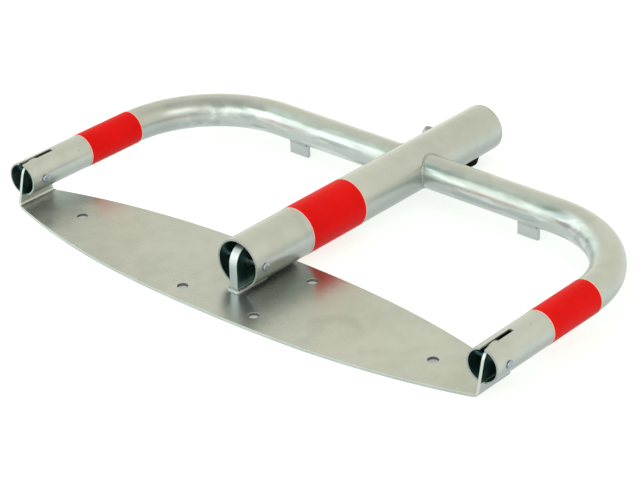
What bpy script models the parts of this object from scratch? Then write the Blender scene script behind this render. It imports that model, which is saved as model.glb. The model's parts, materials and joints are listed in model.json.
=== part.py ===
"""Folding parking lock: a base plate that is anchored to the ground and a hoop that lies folded on it.

World frame: metres, +Z up, origin in the middle of the base plate's underside. X runs along the
pivot axis, and the folded hoop points to +Y. Every piece is a solid object of its own, and the
pieces that move hang under an empty on their joint's axis.
"""

import math

import bmesh
import bpy
from mathutils import Matrix

# Clearances and facets
GAP = 0.0003  # between pieces that touch
CUT = 0.010  # how far a cutter reaches beyond what it cuts
WELD_DISTANCE = 0.00001
TUBE_SIDES = 36
LOCK_SIDES = 32
HOOP_SIDES = 28
SMALL_SIDES = 20
HOLE_SIDES = 16
BEAD_SIDES = 12
WIRE_SIDES = 8

# Base plate with its two ears, and the lug in its middle
PLATE_T = 0.004
PLATE_HALF_MIDDLE = 0.076
PLATE_HALF_END = 0.028
PLATE_BOW = 2.4  # exponent of the bowed long edges
EDGE_STEPS = 12
SHEET_BEND_R = 0.008  # outer radius where the ears are bent up
ANCHOR_R = 0.0065
ANCHOR_PLACES = [(-0.2715, 0.0), (0.2715, 0.0)] + [(x, y) for x in (-0.055, 0.055) for y in (-0.05, 0.05)]
PIVOT_Z = 0.036
EAR_TOP_R = 0.020
LUG_T = 0.012
LUG_HALF = 0.023
LUG_NOTCH_FLOOR = 0.015  # from the pivot axis
LUG_NOTCH_HALF = 0.0065
LUG_BEAD_X, LUG_BEAD_Y, LUG_BEAD_H = 0.011, 0.029, 0.005
LUG_BEAD_LIP = 0.0008
BUSH_R = 0.006

# Hoop of two bent tubes welded to a thicker middle tube
LEG_X = 0.353
RAIL_Y = 0.304
RAIL_END = 0.008  # the rail's middle line before its end is coped to the middle tube
RAIL_FAR = 0.210
HOOP_R = 0.0212
HOOP_WALL = 0.0026
HOOP_BEND_R = 0.1375
HOOP_BEND_STEPS = 12
HOOP_BORE_EXTRA = 0.006
LEG_FRONT = -0.020
LEG_SLOT_HALF = 0.0028
LEG_SLOT_BACK = 0.031
TUBE_R = 0.03015
TUBE_WALL = 0.0026
TUBE_FRONT = -0.015
TUBE_BACK = 0.444
FITTED_SPAN = (0.2, 0.5)  # stretch of the middle tube that other pieces are shaped round
END_DISC_T, END_DISC_EDGE = 0.003, 0.0008
LUG_SLOT_HALF = 0.013
LUG_SLOT_BACK = 0.037
BEAD_R = 0.004
BEAD_STEPS = 32
BAND_T = 0.0004
LEG_BAND = (0.079, 0.168)
TUBE_BAND = (0.083, 0.178)
FOOT_X = 0.180
FOOT_W, FOOT_T = 0.030, 0.005
FOOT_FRONT = 0.294
FOOT_BEAD_R, FOOT_BEAD_OUT, FOOT_BEAD_HALF = 0.003, 0.001, 0.013

# Pivot pins
PIN_R = 0.004
PIN_HEAD_R = 0.0052
PIN_HEAD_H = 0.0026
PIN_HEAD_RIM = 0.2  # share of the head's height that is its straight rim
WASHER_R, WASHER_T = 0.0075, 0.0012

# Locking rod, its spring, its guides and its knob
ROD_R = 0.006
ROD_TIP, ROD_TAIL = 0.0238, 0.398
ROD_CHAMFER = 0.001
ROD_STROKE = 0.008
GUIDE_T, GUIDE_CHAMFER = 0.008, 0.001
FRONT_GUIDE_Y, REAR_GUIDE_Y = 0.060, 0.250
COLLAR_Y, COLLAR_T, COLLAR_R = 0.200, 0.008, 0.011
COLLAR_CHAMFER = 0.0008
COLLAR_MIDDLE = (COLLAR_Y + COLLAR_T / 2, PIVOT_Z)
CROSS_PIN_R = 0.002
SPRING_R, SPRING_WIRE_R, SPRING_TURNS = 0.009, 0.0011, 6
KNOB_Y = 0.388
KNOB_R, KNOB_INNER, KNOB_OUTER = 0.0082, 0.0315, 0.0495
KNOB_STEM_R = 0.004
KNOB_ROUND, KNOB_CHAMFER = 0.005, 0.001

# Lock under the middle tube
LOCK_Y = 0.405
HOUSING_R = 0.015
HOUSING_BOTTOM, HOUSING_TOP = 0.0032, 0.020
HOUSING_CHAMFER = 0.0005
CORE_R = 0.0063
CORE_BOTTOM = 0.0036
KEYWAY_X, KEYWAY_Y, KEYWAY_DEPTH = 0.0018, 0.008, 0.011
CAM_R, CAM_T, CAM_CHAMFER = 0.009, 0.003, 0.0004
CRANK = ROD_STROKE / math.sqrt(2)  # a quarter turn of this crank moves the rod by its stroke
CRANK_PIN_R, CRANK_PIN_TOP = 0.002, 0.0292
YOKE_BOTTOM = 0.025
YOKE_X, YOKE_Y = (-0.008, 0.012), (0.372, 0.416)
YOKE_PLAY = 0.00035
SCREW_R, SCREW_TIP = 0.002, 0.0006
SCREW_HOLE_R = SCREW_R + GAP
YOKE_SCREW_Y = 0.380
YOKE_SCREW_HEAD_R, YOKE_SCREW_BOTTOM, YOKE_SCREW_POINT = 0.0038, 0.0222, 0.038
CAM_SCREW_HEAD_R, CAM_SCREW_HEAD_T, CAM_SCREW_POINT = 0.0032, 0.0010, 0.016
CAP_BOTTOM, CAP_TOP = 0.0006, 0.012
CAP_FOOT_R, CAP_RIM_R, CAP_ROUND = 0.0160, 0.0194, 0.0028

QUARTER = math.pi / 2
TURN = {"X": (0, QUARTER, 0), "-X": (0, -QUARTER, 0), "Y": (-QUARTER, 0, 0), "Z": (0, 0, 0)}
OUTLINE_TURN = {"X": (QUARTER, 0, QUARTER), "Y": (QUARTER, 0, 0), "Z": (0, 0, 0)}

for leftover in list(bpy.data.objects):
    bpy.data.objects.remove(leftover, do_unlink=True)
parts = bpy.data.collections.new("folding_parking_lock")
cutters = bpy.data.collections.new("cutters")
for collection in (parts, cutters):
    bpy.context.scene.collection.children.link(collection)


# ---------------------------------------------------------------- modelling tools


def material(name, colour, roughness, metallic):
    made = bpy.data.materials.new(name)
    made.use_nodes = True
    shader = made.node_tree.nodes["Principled BSDF"]
    shader.inputs["Base Color"].default_value = (*colour, 1)
    shader.inputs["Roughness"].default_value = roughness
    shader.inputs["Metallic"].default_value = metallic
    return made


def add(name, data, where=(0, 0, 0), turn=(0, 0, 0)):
    made = bpy.data.objects.new(name, data)
    made.location = where
    made.rotation_euler = turn
    parts.objects.link(made)
    return made


def shade(mesh):
    mesh.shade_smooth()
    mesh.set_sharp_from_angle(angle=math.radians(35))


def from_bmesh(name, build, where=(0, 0, 0), turn=(0, 0, 0)):
    """An object whose mesh is made by build(bm)."""
    mesh = bpy.data.meshes.new(name)
    bm = bmesh.new()
    build(bm)
    bm.to_mesh(mesh)
    bm.free()
    shade(mesh)
    return add(name, mesh, where, turn)


def box(name, low, high):
    size = [b - a for a, b in zip(low, high)]
    middle = [(a + b) / 2 for a, b in zip(low, high)]

    def build(bm):
        bmesh.ops.create_cube(bm, size=1)
        bmesh.ops.scale(bm, vec=size, verts=bm.verts)

    return from_bmesh(name, build, middle)


def cylinder(name, radius, span, axis, across, sides=SMALL_SIDES):
    """A cylinder along an axis from span[0] to span[1]; across is its place on the other two axes."""
    centre = list(across)
    centre.insert("XYZ".index(axis), sum(span) / 2)

    def build(bm):
        depth = span[1] - span[0]
        bmesh.ops.create_cone(
            bm, cap_ends=True, segments=sides, radius1=radius, radius2=radius, depth=depth
        )

    return from_bmesh(name, build, centre, TURN[axis])


def turned(name, profile, axis, where, sides=SMALL_SIDES, closed=False):
    """A profile of (radius, height) points, outer side from top to bottom, turned about an axis."""
    mesh = bpy.data.meshes.new(name)
    edges = [(i, i + 1) for i in range(len(profile) - 1)]
    if closed:
        edges.append((len(profile) - 1, 0))
    mesh.from_pydata([(r, 0, h) for r, h in profile], edges, [])
    made = add(name, mesh, where, TURN[axis])
    screw = made.modifiers.new("turn", "SCREW")
    screw.steps = screw.render_steps = sides
    screw.use_merge_vertices = True
    screw.merge_threshold = WELD_DISTANCE
    screw.use_smooth_shade = True
    return made


def ring(name, outer, inner, span, axis, across, sides=SMALL_SIDES, chamfer=0.0):
    """A sleeve, disc or washer from span[0] to span[1], with its outer edges chamfered."""
    half = (span[1] - span[0]) / 2
    centre = list(across)
    centre.insert("XYZ".index(axis), sum(span) / 2)
    profile = [(outer, half), (outer, -half)]
    if chamfer:
        profile = [(outer - chamfer, half), (outer, half - chamfer)]
        profile += [(r, -h) for r, h in reversed(profile)]
    profile += [(inner, -half), (inner, half)]
    return turned(name, profile, axis, centre, sides, closed=True)


def arc(centre, radius, start, end, steps):
    """Points on an arc, angles in degrees, both ends included."""
    found = []
    for i in range(steps + 1):
        angle = math.radians(start + (end - start) * i / steps)
        found.append((centre[0] + radius * math.cos(angle), centre[1] + radius * math.sin(angle)))
    return found


def as_mesh(name, curve_object):
    """The curve's surface as a mesh object, with its caps welded on."""
    graph = bpy.context.evaluated_depsgraph_get()
    mesh = bpy.data.meshes.new_from_object(curve_object.evaluated_get(graph))
    bm = bmesh.new()
    bm.from_mesh(mesh)
    bmesh.ops.remove_doubles(bm, verts=bm.verts, dist=WELD_DISTANCE)
    bm.to_mesh(mesh)
    bm.free()
    shade(mesh)
    made = add(name, mesh)
    made.matrix_world = curve_object.matrix_world.copy()
    bpy.data.objects.remove(curve_object)
    return made


def curve(name, points, cyclic):
    made = bpy.data.curves.new(name, "CURVE")
    spline = made.splines.new("POLY")
    spline.points.add(len(points) - 1)
    for point, place in zip(spline.points, points):
        point.co = (*place, 1)
    spline.use_cyclic_u = cyclic
    return made


def outline(name, points, span, axis):
    """A flat outline, given on the other two axes in XYZ order, extruded along an axis."""
    shape = curve(name, [(a, b, 0) for a, b in points], True)
    shape.dimensions = "2D"
    shape.fill_mode = "BOTH"
    shape.extrude = (span[1] - span[0]) / 2
    place = [0, 0, 0]
    place["XYZ".index(axis)] = sum(span) / 2
    drawn = add(name + "_outline", shape, place, OUTLINE_TURN[axis])
    bpy.context.view_layer.update()
    return as_mesh(name, drawn)


def pipe(name, points, radius, sides, cyclic=False):
    """A solid round bar along a line of points."""
    shape = curve(name, points, cyclic)
    shape.dimensions = "3D"
    shape.bevel_depth = radius
    shape.bevel_resolution = sides // 2 - 2
    shape.use_fill_caps = not cyclic
    drawn = add(name + "_line", shape)
    bpy.context.view_layer.update()
    return as_mesh(name, drawn)


def boolean(target, tool, operation):
    """Joins, cuts or intersects with a tool, which moves to the cutters."""
    step = target.modifiers.new(tool.name, "BOOLEAN")
    step.operation = operation
    step.object = tool
    tool.hide_render = True
    tool.display_type = "WIRE"
    if tool.name in parts.objects:
        parts.objects.unlink(tool)
        cutters.objects.link(tool)


def cut(target, *tools):
    for tool in tools:
        boolean(target, tool, "DIFFERENCE")


# ---------------------------------------------------------------- base


def plate_half_width(x):
    share = min(abs(x) / LEG_X, 1)
    return PLATE_HALF_MIDDLE - (PLATE_HALF_MIDDLE - PLATE_HALF_END) * share**PLATE_BOW


def sheet_section():
    """Section of the sheet across the whole width, with both ears bent up."""
    ear_out = LEG_X + PLATE_T / 2
    corner = ear_out - SHEET_BEND_R
    inner_r = SHEET_BEND_R - PLATE_T
    top = PIVOT_Z + 2 * EAR_TOP_R
    section = [(-ear_out, top)]
    section += arc((-corner, SHEET_BEND_R), SHEET_BEND_R, 180, 270, 5)
    section += arc((corner, SHEET_BEND_R), SHEET_BEND_R, 270, 360, 5)
    section += [(ear_out, top), (ear_out - PLATE_T, top)]
    section += arc((corner, SHEET_BEND_R), inner_r, 360, 270, 4)
    section += arc((-corner, SHEET_BEND_R), inner_r, 270, 180, 4)
    section.append((-ear_out + PLATE_T, top))
    return section


def lens_outline():
    reach = LEG_X + PLATE_T
    right = [LEG_X * i / EDGE_STEPS for i in range(-EDGE_STEPS, EDGE_STEPS + 1)]
    across = [-reach] + right + [reach]
    front = [(x, -plate_half_width(x)) for x in across]
    return front + [(x, -y) for x, y in reversed(front)]


def ear_outline():
    """Side view: full width below the plate's top, and above it the ear's tangent sides and round top."""
    foot = (PLATE_HALF_END, PLATE_T + GAP)
    rise, reach = PIVOT_Z - foot[1], math.hypot(foot[0], PIVOT_Z - foot[1])
    touch = math.degrees(math.atan2(-rise, foot[0]) + math.acos(EAR_TOP_R / reach))
    side = PLATE_HALF_MIDDLE + PLATE_T
    bottom = [(-foot[0], foot[1]), (-side, foot[1]), (-side, -PLATE_T)]
    bottom += [(-y, z) for y, z in reversed(bottom)]
    return bottom + arc((0, PIVOT_Z), EAR_TOP_R, touch, 180 - touch, 14)


def make_base_plate():
    across = PLATE_HALF_MIDDLE + CUT
    along = LEG_X + PLATE_T + CUT
    plate = outline("base_plate", sheet_section(), (-across, across), "Y")
    lens = outline("plate_lens", lens_outline(), (-CUT, PIVOT_Z + 2 * EAR_TOP_R + CUT), "Z")
    ears = outline("plate_ears", ear_outline(), (-along, along), "X")
    boolean(plate, lens, "INTERSECT")
    boolean(plate, ears, "INTERSECT")
    for number, place in enumerate(ANCHOR_PLACES, 1):
        cut(plate, cylinder(f"anchor_drill_{number}", ANCHOR_R, (-CUT, PLATE_T + CUT), "Z", place))
    cut(plate, cylinder("ear_drill", PIN_R + GAP, (-along, along), "X", (0, PIVOT_Z)))
    return plate


def make_centre_lug():
    foot = PLATE_T + GAP
    shape = [(-LUG_HALF, foot), (LUG_HALF, foot)] + arc((0, PIVOT_Z), LUG_HALF, 0, 180, 20)
    lug = outline("centre_lug", shape, (-LUG_T / 2, LUG_T / 2), "X")
    notch = LUG_NOTCH_HALF
    floor, beyond = LUG_NOTCH_FLOOR, LUG_HALF + CUT
    rear = box("rear_notch", (-LUG_T, floor, PIVOT_Z - notch), (LUG_T, beyond, PIVOT_Z + notch))
    top = box("top_notch", (-LUG_T, -notch, PIVOT_Z + floor), (LUG_T, notch, PIVOT_Z + beyond))
    bore = cylinder("lug_bore", BUSH_R + GAP, (-LUG_T, LUG_T), "X", (0, PIVOT_Z))
    cut(lug, rear, top, bore)
    return lug


def make_lug_weld():
    """Fillet bead round the lug's foot: a low pyramid with the lug's shape cut out of it."""
    low = PLATE_T + GAP
    shrink_x = (LUG_T / 2 + GAP + LUG_BEAD_LIP) / LUG_BEAD_X
    shrink_y = (LUG_HALF + GAP + LUG_BEAD_LIP) / LUG_BEAD_Y

    def build(bm):
        bmesh.ops.create_cube(bm, size=1)
        bmesh.ops.scale(bm, vec=(2 * LUG_BEAD_X, 2 * LUG_BEAD_Y, LUG_BEAD_H), verts=bm.verts)
        upper = [vert for vert in bm.verts if vert.co.z > 0]
        bmesh.ops.scale(bm, vec=(shrink_x, shrink_y, 1), verts=upper)

    bead = from_bmesh("lug_weld", build, (0, 0, low + LUG_BEAD_H / 2))
    half_x, half_y = LUG_T / 2 + GAP, LUG_HALF + GAP
    cut(bead, box("lug_space", (-half_x, -half_y, 0), (half_x, half_y, PIVOT_Z)))
    return bead


# ---------------------------------------------------------------- hoop


def hoop_line(side, extra):
    """Middle line of one bent tube, from the leg's mouth to the middle tube, longer by extra."""
    corner = (LEG_X - HOOP_BEND_R, RAIL_Y - HOOP_BEND_R)
    flat = [(LEG_X, LEG_FRONT - extra)] + arc(corner, HOOP_BEND_R, 0, 90, HOOP_BEND_STEPS)
    flat.append((RAIL_END - extra, RAIL_Y))
    return [(side * x, y, PIVOT_Z) for x, y in flat]


def middle_space(name):
    """The space that the middle tube takes, for cutting what is welded to it."""
    return cylinder(name, TUBE_R + GAP, FITTED_SPAN, "Y", (0, PIVOT_Z), TUBE_SIDES)


def rail_space(name, side):
    """The space that a rail takes."""
    near, far = sorted((0, side * RAIL_FAR))
    return cylinder(name, HOOP_R + GAP, (near, far), "X", (RAIL_Y, PIVOT_Z), HOOP_SIDES)


def make_hoop_tube(side, label):
    tube = pipe(f"{label}_hoop_tube", hoop_line(side, 0), HOOP_R, HOOP_SIDES)
    bore = pipe(f"{label}_hoop_bore", hoop_line(side, HOOP_BORE_EXTRA), HOOP_R - HOOP_WALL, HOOP_SIDES)
    x = side * LEG_X
    slot = box(
        f"{label}_ear_slot",
        (x - LEG_SLOT_HALF, LEG_FRONT - CUT, PIVOT_Z - 2 * HOOP_R),
        (x + LEG_SLOT_HALF, LEG_SLOT_BACK, PIVOT_Z + 2 * HOOP_R),
    )
    reach = HOOP_R + CUT
    drill = cylinder(f"{label}_pin_drill", PIN_R + GAP, (x - reach, x + reach), "X", (0, PIVOT_Z))
    cut(tube, bore, slot, drill, middle_space(f"{label}_cope"))
    return tube


def make_hoop_weld(side, label):
    """Bead along the saddle where the bent tube meets the middle tube."""
    out = BEAD_R / 4
    points = []
    for i in range(BEAD_STEPS):
        angle = 2 * math.pi * i / BEAD_STEPS
        across, up = (HOOP_R + out) * math.cos(angle), (HOOP_R + out) * math.sin(angle)
        points.append((side * math.sqrt((TUBE_R + out) ** 2 - up**2), RAIL_Y + across, PIVOT_Z + up))
    bead = pipe(f"{label}_hoop_weld", points, BEAD_R, WIRE_SIDES, cyclic=True)
    cut(bead, middle_space(f"{label}_weld_middle"), rail_space(f"{label}_weld_rail", side))
    return bead


def make_centre_tube():
    end = TUBE_BACK - END_DISC_T - GAP
    tube = cylinder("centre_tube", TUBE_R, (TUBE_FRONT, end), "Y", (0, PIVOT_Z), TUBE_SIDES)
    bore_span = (TUBE_FRONT - CUT, TUBE_BACK + CUT)
    bore = cylinder("centre_bore", TUBE_R - TUBE_WALL, bore_span, "Y", (0, PIVOT_Z), TUBE_SIDES)
    slot = box(
        "lug_slot",
        (-LUG_SLOT_HALF, TUBE_FRONT - CUT, -CUT),
        (LUG_SLOT_HALF, LUG_SLOT_BACK, PIVOT_Z - TUBE_R / 2),
    )
    reach = TUBE_R + CUT
    drill = cylinder("centre_pin_drill", PIN_R + GAP, (-reach, reach), "X", (0, PIVOT_Z))
    knob_space = KNOB_STEM_R + 2 * GAP
    knob_slot = box(
        "knob_slot",
        (-TUBE_R - CUT, KNOB_Y - ROD_STROKE - knob_space, PIVOT_Z - knob_space),
        (-TUBE_R + CUT, KNOB_Y + knob_space, PIVOT_Z + knob_space),
    )
    lock_hole = cylinder("lock_hole", HOUSING_R + GAP, (-CUT, HOUSING_TOP), "Z", (0, LOCK_Y), LOCK_SIDES)
    cut(tube, bore, slot, drill, knob_slot, lock_hole)
    return tube


def make_end_disc():
    half = END_DISC_T / 2
    side = [(TUBE_R - END_DISC_EDGE, half), (TUBE_R, half - END_DISC_EDGE), (TUBE_R, -half)]
    profile = [(0, half)] + side + [(0, -half)]
    return turned("end_disc", profile, "Y", (0, TUBE_BACK - half, PIVOT_Z), TUBE_SIDES)


def make_band(name, x, span, tube_r, sides):
    inner = tube_r + GAP
    return ring(name, inner + BAND_T, inner, span, "Y", (x, PIVOT_Z), sides)


def foot_box(name, side, grow):
    x = side * FOOT_X
    low = (x - FOOT_W / 2 - grow, FOOT_FRONT - grow, -grow)
    high = (x + FOOT_W / 2 + grow, FOOT_FRONT + FOOT_T + grow, PIVOT_Z - HOOP_R / 2)
    return box(name, low, high)


def make_foot(side, label):
    foot = foot_box(f"{label}_foot", side, 0)
    cut(foot, rail_space(f"{label}_foot_rail", side))
    return foot


def make_foot_weld(side, label):
    """Bead along the front of the foot where it meets the rail."""
    x = side * FOOT_X
    span = (x - FOOT_BEAD_HALF, x + FOOT_BEAD_HALF)
    height = PIVOT_Z - math.sqrt(HOOP_R**2 - (RAIL_Y - FOOT_FRONT) ** 2)
    across = (FOOT_FRONT - FOOT_BEAD_OUT, height)
    bead = cylinder(f"{label}_foot_weld", FOOT_BEAD_R, span, "X", across, BEAD_SIDES)
    cut(bead, foot_box(f"{label}_foot_space", side, GAP), rail_space(f"{label}_bead_rail", side))
    return bead


def make_pivot_pin(label, x, tube_r):
    """Round pin with a domed head; its other end is riveted over a washer."""
    head = tube_r + GAP
    tail = -(tube_r + 2 * GAP + WASHER_T)
    rim = PIN_HEAD_RIM * PIN_HEAD_H
    dome = [(PIN_HEAD_R * r, rim + (PIN_HEAD_H - rim) * h) for h, r in arc((0, 0), 1, 0, 90, 4)]
    dome.append((PIN_HEAD_R, 0))
    profile = [(r, head + h) for r, h in dome] + [(PIN_R, head), (PIN_R, tail)]
    profile += [(r, tail - h) for r, h in reversed(dome)]
    return turned(f"{label}_pivot_pin", profile, "X", (x, 0, PIVOT_Z))


def make_washer(label, x, tube_r):
    outer_face = x - tube_r - GAP
    span = (outer_face - WASHER_T, outer_face)
    return ring(f"{label}_pin_washer", WASHER_R, PIN_R + GAP, span, "X", (0, PIVOT_Z))


# ---------------------------------------------------------------- locking rod


def make_guide(name, y):
    outer = TUBE_R - TUBE_WALL - GAP
    return ring(name, outer, ROD_R + GAP, (y, y + GUIDE_T), "Y", (0, PIVOT_Z), HOOP_SIDES, GUIDE_CHAMFER)


def make_rod():
    half = (ROD_TAIL - ROD_TIP) / 2
    side = [(0, half), (ROD_R - ROD_CHAMFER, half), (ROD_R, half - ROD_CHAMFER)]
    profile = side + [(r, -h) for r, h in reversed(side)]
    rod = turned("locking_rod", profile, "Y", (0, ROD_TIP + half, PIVOT_Z))
    pin_hole = cylinder("rod_pin_hole", CROSS_PIN_R + GAP, (-CUT, CUT), "X", COLLAR_MIDDLE, HOLE_SIDES)
    screw_span = (YOKE_BOTTOM, YOKE_SCREW_POINT + 2 * GAP)
    screw_hole = cylinder("rod_screw_hole", SCREW_HOLE_R, screw_span, "Z", (0, YOKE_SCREW_Y), HOLE_SIDES)
    cut(rod, pin_hole, screw_hole)
    return rod


def make_collar():
    span = (COLLAR_Y, COLLAR_Y + COLLAR_T)
    collar = ring("rod_collar", COLLAR_R, ROD_R + GAP, span, "Y", (0, PIVOT_Z), SMALL_SIDES, COLLAR_CHAMFER)
    drill_span = (-COLLAR_R - CUT, COLLAR_R + CUT)
    cut(collar, cylinder("collar_pin_hole", CROSS_PIN_R + GAP, drill_span, "X", COLLAR_MIDDLE, HOLE_SIDES))
    return collar


def make_collar_pin():
    reach = COLLAR_R - COLLAR_CHAMFER
    return cylinder("collar_pin", CROSS_PIN_R, (-reach, reach), "X", COLLAR_MIDDLE, HOLE_SIDES)


def make_spring():
    """Compression spring on the rod, between the collar and the rear guide."""
    start = COLLAR_Y + COLLAR_T + SPRING_WIRE_R + GAP
    end = REAR_GUIDE_Y - SPRING_WIRE_R - GAP
    steps = 12 * SPRING_TURNS
    points = []
    for i in range(steps + 1):
        angle = 2 * math.pi * SPRING_TURNS * i / steps
        y = start + (end - start) * i / steps
        points.append((SPRING_R * math.cos(angle), y, PIVOT_Z + SPRING_R * math.sin(angle)))
    return pipe("rod_spring", points, SPRING_WIRE_R, WIRE_SIDES)


def make_knob():
    """Pull knob: its stem goes through the slot in the tube's side and screws into the rod."""
    corner = arc((KNOB_R - KNOB_ROUND, KNOB_OUTER - KNOB_ROUND), KNOB_ROUND, 90, 0, 5)
    profile = [(0, KNOB_OUTER)] + corner
    profile += [(KNOB_R, KNOB_INNER + KNOB_CHAMFER), (KNOB_R - KNOB_CHAMFER, KNOB_INNER)]
    profile += [(KNOB_STEM_R, KNOB_INNER), (KNOB_STEM_R, ROD_R + GAP), (0, ROD_R + GAP)]
    return turned("pull_knob", profile, "-X", (0, KNOB_Y, PIVOT_Z))


def make_yoke():
    """Flat yoke under the rod's tail, whose cross slot takes the crank pin of the lock."""
    top = PIVOT_Z - ROD_R - GAP
    yoke = box("rod_yoke", (YOKE_X[0], YOKE_Y[0], YOKE_BOTTOM), (YOKE_X[1], YOKE_Y[1], top))
    play = CRANK_PIN_R + YOKE_PLAY
    pin_y = LOCK_Y + ROD_STROKE / 2
    near, far = ROD_STROKE / 2 - play - GAP, CRANK + play + GAP
    low, high = YOKE_BOTTOM - CUT, top + CUT
    slot = box("crank_slot", (near, pin_y - play, low), (far, pin_y + play, high))
    hole = cylinder("yoke_screw_hole", SCREW_HOLE_R, (low, high), "Z", (0, YOKE_SCREW_Y), HOLE_SIDES)
    cut(yoke, slot, hole)
    return yoke


def screw(name, where, head_r, head_span, point, head_up):
    """A plain screw along Z: its head between the two heights of head_span, its shank out to point."""
    head_low, head_high = head_span
    if head_up:
        profile = [(0, head_high), (head_r, head_high), (head_r, head_low), (SCREW_R, head_low)]
        profile += [(SCREW_R, point + SCREW_TIP), (SCREW_R - SCREW_TIP, point), (0, point)]
    else:
        profile = [(0, point), (SCREW_R - SCREW_TIP, point), (SCREW_R, point - SCREW_TIP)]
        profile += [(SCREW_R, head_high), (head_r, head_high), (head_r, head_low), (0, head_low)]
    return turned(name, profile, "Z", (*where, 0), HOLE_SIDES)


# ---------------------------------------------------------------- lock


def make_housing():
    span = (HOUSING_BOTTOM, HOUSING_TOP)
    return ring("lock_housing", HOUSING_R, CORE_R + GAP, span, "Z", (0, LOCK_Y), LOCK_SIDES, HOUSING_CHAMFER)


def make_core():
    core = cylinder("lock_core", CORE_R, (CORE_BOTTOM, HOUSING_TOP), "Z", (0, LOCK_Y))
    half_x, half_y = KEYWAY_X / 2, KEYWAY_Y / 2
    keyway = box(
        "keyway", (-half_x, LOCK_Y - half_y, -CUT), (half_x, LOCK_Y + half_y, CORE_BOTTOM + KEYWAY_DEPTH)
    )
    hole_span = (CAM_SCREW_POINT - 2 * GAP, HOUSING_TOP + CUT)
    hole = cylinder("core_screw_hole", SCREW_HOLE_R, hole_span, "Z", (0, LOCK_Y), HOLE_SIDES)
    cut(core, keyway, hole)
    return core


def make_cam():
    low = HOUSING_TOP + GAP
    cam = ring("lock_cam", CAM_R, SCREW_HOLE_R, (low, low + CAM_T), "Z", (0, LOCK_Y), LOCK_SIDES, CAM_CHAMFER)
    place = (ROD_STROKE / 2, LOCK_Y + ROD_STROKE / 2)
    pin_span = (low + CAM_T / 2, CRANK_PIN_TOP)
    boolean(cam, cylinder("crank_pin", CRANK_PIN_R, pin_span, "Z", place, HOLE_SIDES), "UNION")
    return cam


def make_cap():
    """Soft weather cap that is pushed over the lock; its rim follows the tube's underside."""
    lip = HOUSING_R + GAP
    side = arc((CAP_FOOT_R - CAP_ROUND, CAP_BOTTOM + CAP_ROUND), CAP_ROUND, 0, -90, 4)
    profile = [(lip, CAP_TOP), (CAP_RIM_R, CAP_TOP)] + side
    profile += [(0, CAP_BOTTOM), (0, HOUSING_BOTTOM - GAP), (lip, HOUSING_BOTTOM - GAP)]
    cap = turned("lock_cap", profile, "Z", (0, LOCK_Y, 0), HOOP_SIDES, closed=True)
    cut(cap, middle_space("cap_saddle"))
    return cap


# ---------------------------------------------------------------- assembly


def gather(pieces, look, joint_empty=None):
    """Gives pieces their material and hangs them under their joint's empty."""
    for piece in pieces:
        piece.data.materials.append(look)
        if joint_empty:
            piece.parent = joint_empty
            piece.matrix_parent_inverse = Matrix.Translation(joint_empty.location).inverted()


def axis_empty(name, where):
    return add(name, None, where)


zinc = material("galvanised_steel", (0.56, 0.58, 0.54), 0.42, 0.9)
bright_zinc = material("zinc_plated_steel", (0.66, 0.69, 0.71), 0.28, 1.0)
red_film = material("red_reflective_film", (0.75, 0.01, 0.008), 0.35, 0.0)
black_rubber = material("black_rubber", (0.012, 0.012, 0.012), 0.6, 0.0)
brass = material("lock_brass", (0.72, 0.53, 0.24), 0.3, 1.0)
spring_steel = material("spring_steel", (0.32, 0.33, 0.35), 0.3, 1.0)
bush_bronze = material("bush_bronze", (0.55, 0.38, 0.2), 0.4, 1.0)

bar_axis = axis_empty("bar_fold_axis", (0, 0, PIVOT_Z))
rod_axis = axis_empty("rod_slide_axis", (0, KNOB_Y, PIVOT_Z))
lock_axis = axis_empty("lock_turn_axis", (0, LOCK_Y, HOUSING_BOTTOM))
cap_axis = axis_empty("cap_pull_axis", (0, LOCK_Y, CAP_BOTTOM))

gather([make_base_plate(), make_centre_lug(), make_lug_weld()], zinc)
lug_bush = ring("lug_bush", BUSH_R, PIN_R + GAP, (-LUG_T / 2, LUG_T / 2), "X", (0, PIVOT_Z))
gather([lug_bush], bush_bronze)

gather([make_centre_tube(), make_end_disc()], zinc, bar_axis)
for side, label in ((-1, "left"), (1, "right")):
    welded = [make_hoop_tube(side, label), make_hoop_weld(side, label)]
    welded += [make_foot(side, label), make_foot_weld(side, label)]
    gather(welded, zinc, bar_axis)
    gather([make_band(f"{label}_band", side * LEG_X, LEG_BAND, HOOP_R, HOOP_SIDES)], red_film, bar_axis)
gather([make_band("centre_band", 0, TUBE_BAND, TUBE_R, TUBE_SIDES)], red_film, bar_axis)
for label, x, tube_r in (("left", -LEG_X, HOOP_R), ("centre", 0, TUBE_R), ("right", LEG_X, HOOP_R)):
    gather([make_pivot_pin(label, x, tube_r), make_washer(label, x, tube_r)], bright_zinc, bar_axis)
guides = [make_guide("front_rod_guide", FRONT_GUIDE_Y), make_guide("rear_rod_guide", REAR_GUIDE_Y)]
gather(guides, zinc, bar_axis)
gather([make_housing()], brass, bar_axis)
gather([make_spring()], spring_steel, bar_axis)

head_span = (YOKE_SCREW_BOTTOM, YOKE_BOTTOM - GAP)
yoke_screw = screw("yoke_screw", (0, YOKE_SCREW_Y), YOKE_SCREW_HEAD_R, head_span, YOKE_SCREW_POINT, False)
on_rod = [make_rod(), make_collar(), make_collar_pin(), make_knob(), make_yoke(), yoke_screw]
gather(on_rod, bright_zinc, rod_axis)

head_low = HOUSING_TOP + GAP + CAM_T + GAP
head_span = (head_low, head_low + CAM_SCREW_HEAD_T)
cam_screw = screw("cam_screw", (0, LOCK_Y), CAM_SCREW_HEAD_R, head_span, CAM_SCREW_POINT, True)
gather([make_core()], brass, lock_axis)
gather([make_cam(), cam_screw], bright_zinc, lock_axis)
gather([make_cap()], black_rubber, cap_axis)
for empty in (rod_axis, lock_axis, cap_axis):
    empty.parent = bar_axis
    empty.matrix_parent_inverse = Matrix.Translation(bar_axis.location).inverted()
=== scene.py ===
"""Looks of the folding parking lock: fine meshes round the frame, materials, light and camera."""

import json
import math

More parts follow.
